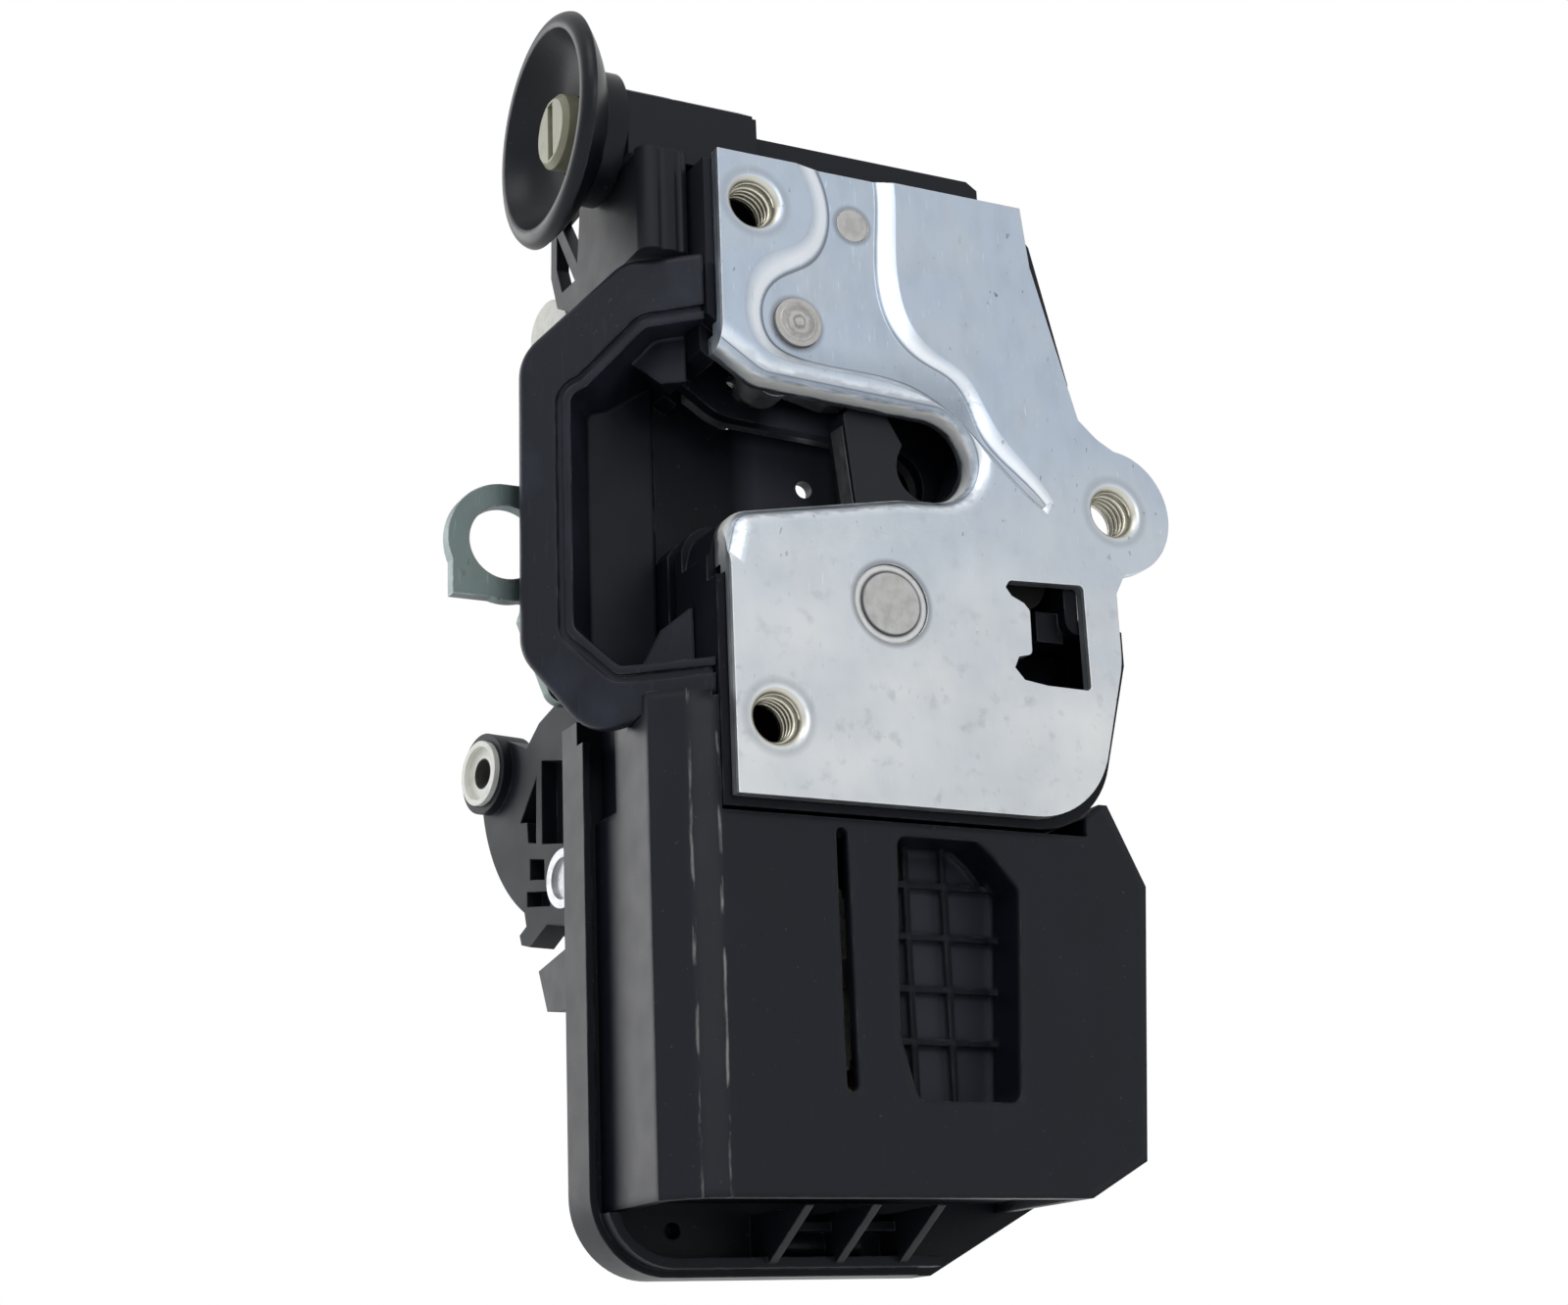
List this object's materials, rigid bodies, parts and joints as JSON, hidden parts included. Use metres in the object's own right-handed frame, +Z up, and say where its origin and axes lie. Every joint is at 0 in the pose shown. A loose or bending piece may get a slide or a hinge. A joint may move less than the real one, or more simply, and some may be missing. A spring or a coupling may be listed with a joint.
{
  "type": "door latch actuator",
  "caption": "Vehicle side-door latch with a striker mouth, fork bolt and detent, release levers, key funnel and a motor driven lock actuator.",
  "frame": {"origin": "fork bolt's pivot, on the outer face of the face plate", "axes": "+Z up along the latch, -Y out of the face plate towards the striker, +X along the plate away from the striker's way in"},
  "size_m": [0.1034, 0.0668, 0.1782],
  "materials": {
    "zinc_plated_steel": "zinc plated, satin",
    "bare_steel": "plated steel",
    "spring_steel": "drawn wire",
    "black_plastic": "moulded, satin",
    "grey_plastic": "moulded",
    "ivory_plastic": "natural acetal",
    "brass": "bare",
    "rubber": "moulded"
  },
  "bodies": {
    "latch_body": {"actuator_housing": "black_plastic", "back_plate": "bare_steel", "bracket_screws": "bare_steel", "case_pin": "bare_steel", "connector_pins": "brass", "connector_socket": "black_plastic", "contact_strip": "brass", "cover_screws": "bare_steel", "detent_pivot_rivet": "bare_steel", "detent_spring": "spring_steel", "face_plate": "zinc_plated_steel", "fork_bumper": "rubber", "fork_pivot_rivet": "bare_steel", "fork_spring": "spring_steel", "inside_lever_pin": "bare_steel", "key_funnel": "black_plastic", "latch_case": "black_plastic", "lever_bracket": "bare_steel", "lock_housing": "black_plastic", "lock_lever_pin": "bare_steel", "motor_can": "bare_steel", "motor_end_cap": "black_plastic", "position_switch": "black_plastic", "rear_cover": "black_plastic", "release_lever_stud": "bare_steel", "striker_guard": "black_plastic", "wheel_pin": "bare_steel"},
    "fork": {"fork_bolt": "bare_steel", "fork_coating": "grey_plastic"},
    "detent": {"detent_lever": "bare_steel", "detent_pin": "bare_steel"},
    "outside_release": {"outside_release_lever": "zinc_plated_steel"},
    "inside_release": {"inside_release_lever": "grey_plastic", "rod_bushing": "ivory_plastic"},
    "lock_arm": {"lock_lever": "ivory_plastic"},
    "key_drive": {"key_receiver": "ivory_plastic", "key_cam": "grey_plastic"},
    "motor_rotor": {"motor_shaft": "bare_steel", "worm": "brass"},
    "gear": {"worm_wheel": "ivory_plastic"},
    "slider": {"lock_slider": "black_plastic"}
  },
  "joints": [
    {"name": "fork_turn", "type": "hinge", "parent": "latch_body", "child": "fork", "pos_m": [0, 0.008, 0], "axis": [0, -1, 0], "range_deg": [0, 60]},
    {"name": "detent_turn", "type": "hinge", "parent": "latch_body", "child": "detent", "pos_m": [-0.0124, 0.008, 0.0403], "axis": [0, -1, 0], "range_deg": [-15, 0]},
    {"name": "outside_release_turn", "type": "hinge", "parent": "latch_body", "child": "outside_release", "pos_m": [-0.016, 0.0262, 0.003], "axis": [0, 1, 0], "range_deg": [0, 10]},
    {"name": "inside_release_turn", "type": "hinge", "parent": "latch_body", "child": "inside_release", "pos_m": [-0.0325, 0.0385, -0.0328], "axis": [-0.9848, -0.1736, 0], "range_deg": [0, 14]},
    {"name": "lock_lever_turn", "type": "hinge", "parent": "latch_body", "child": "lock_arm", "pos_m": [-0.03036, 0.04192, 0.0222], "axis": [-0.9848, -0.1736, 0], "range_deg": [0, 18]},
    {"name": "key_turn", "type": "hinge", "parent": "latch_body", "child": "key_drive", "pos_m": [-0.036, 0.017, 0.0722], "axis": [-1, 0, 0], "range_deg": [-45, 45]},
    {"name": "motor_spin", "type": "hinge", "parent": "latch_body", "child": "motor_rotor", "pos_m": [0, 0.0182, -0.0655], "axis": [1, 0, 0], "continuous": true},
    {"name": "gear_turn", "type": "hinge", "parent": "latch_body", "child": "gear", "pos_m": [-0.003, 0.0182, -0.04955], "axis": [0, 1, 0], "range_deg": [0, 70]},
    {"name": "slider_lift", "type": "slide", "parent": "latch_body", "child": "slider", "axis": [0, 0, 1], "range_m": [0, 0.00915]}
  ],
  "couplings": [
    {"joint": "gear_turn", "follows": "slider_lift", "rad_per_m": 133.33},
    {"joint": "lock_lever_turn", "follows": "slider_lift", "rad_per_m": 34.285},
    {"joint": "motor_spin", "follows": "slider_lift", "rad_per_m": 4266.7}
  ]
}
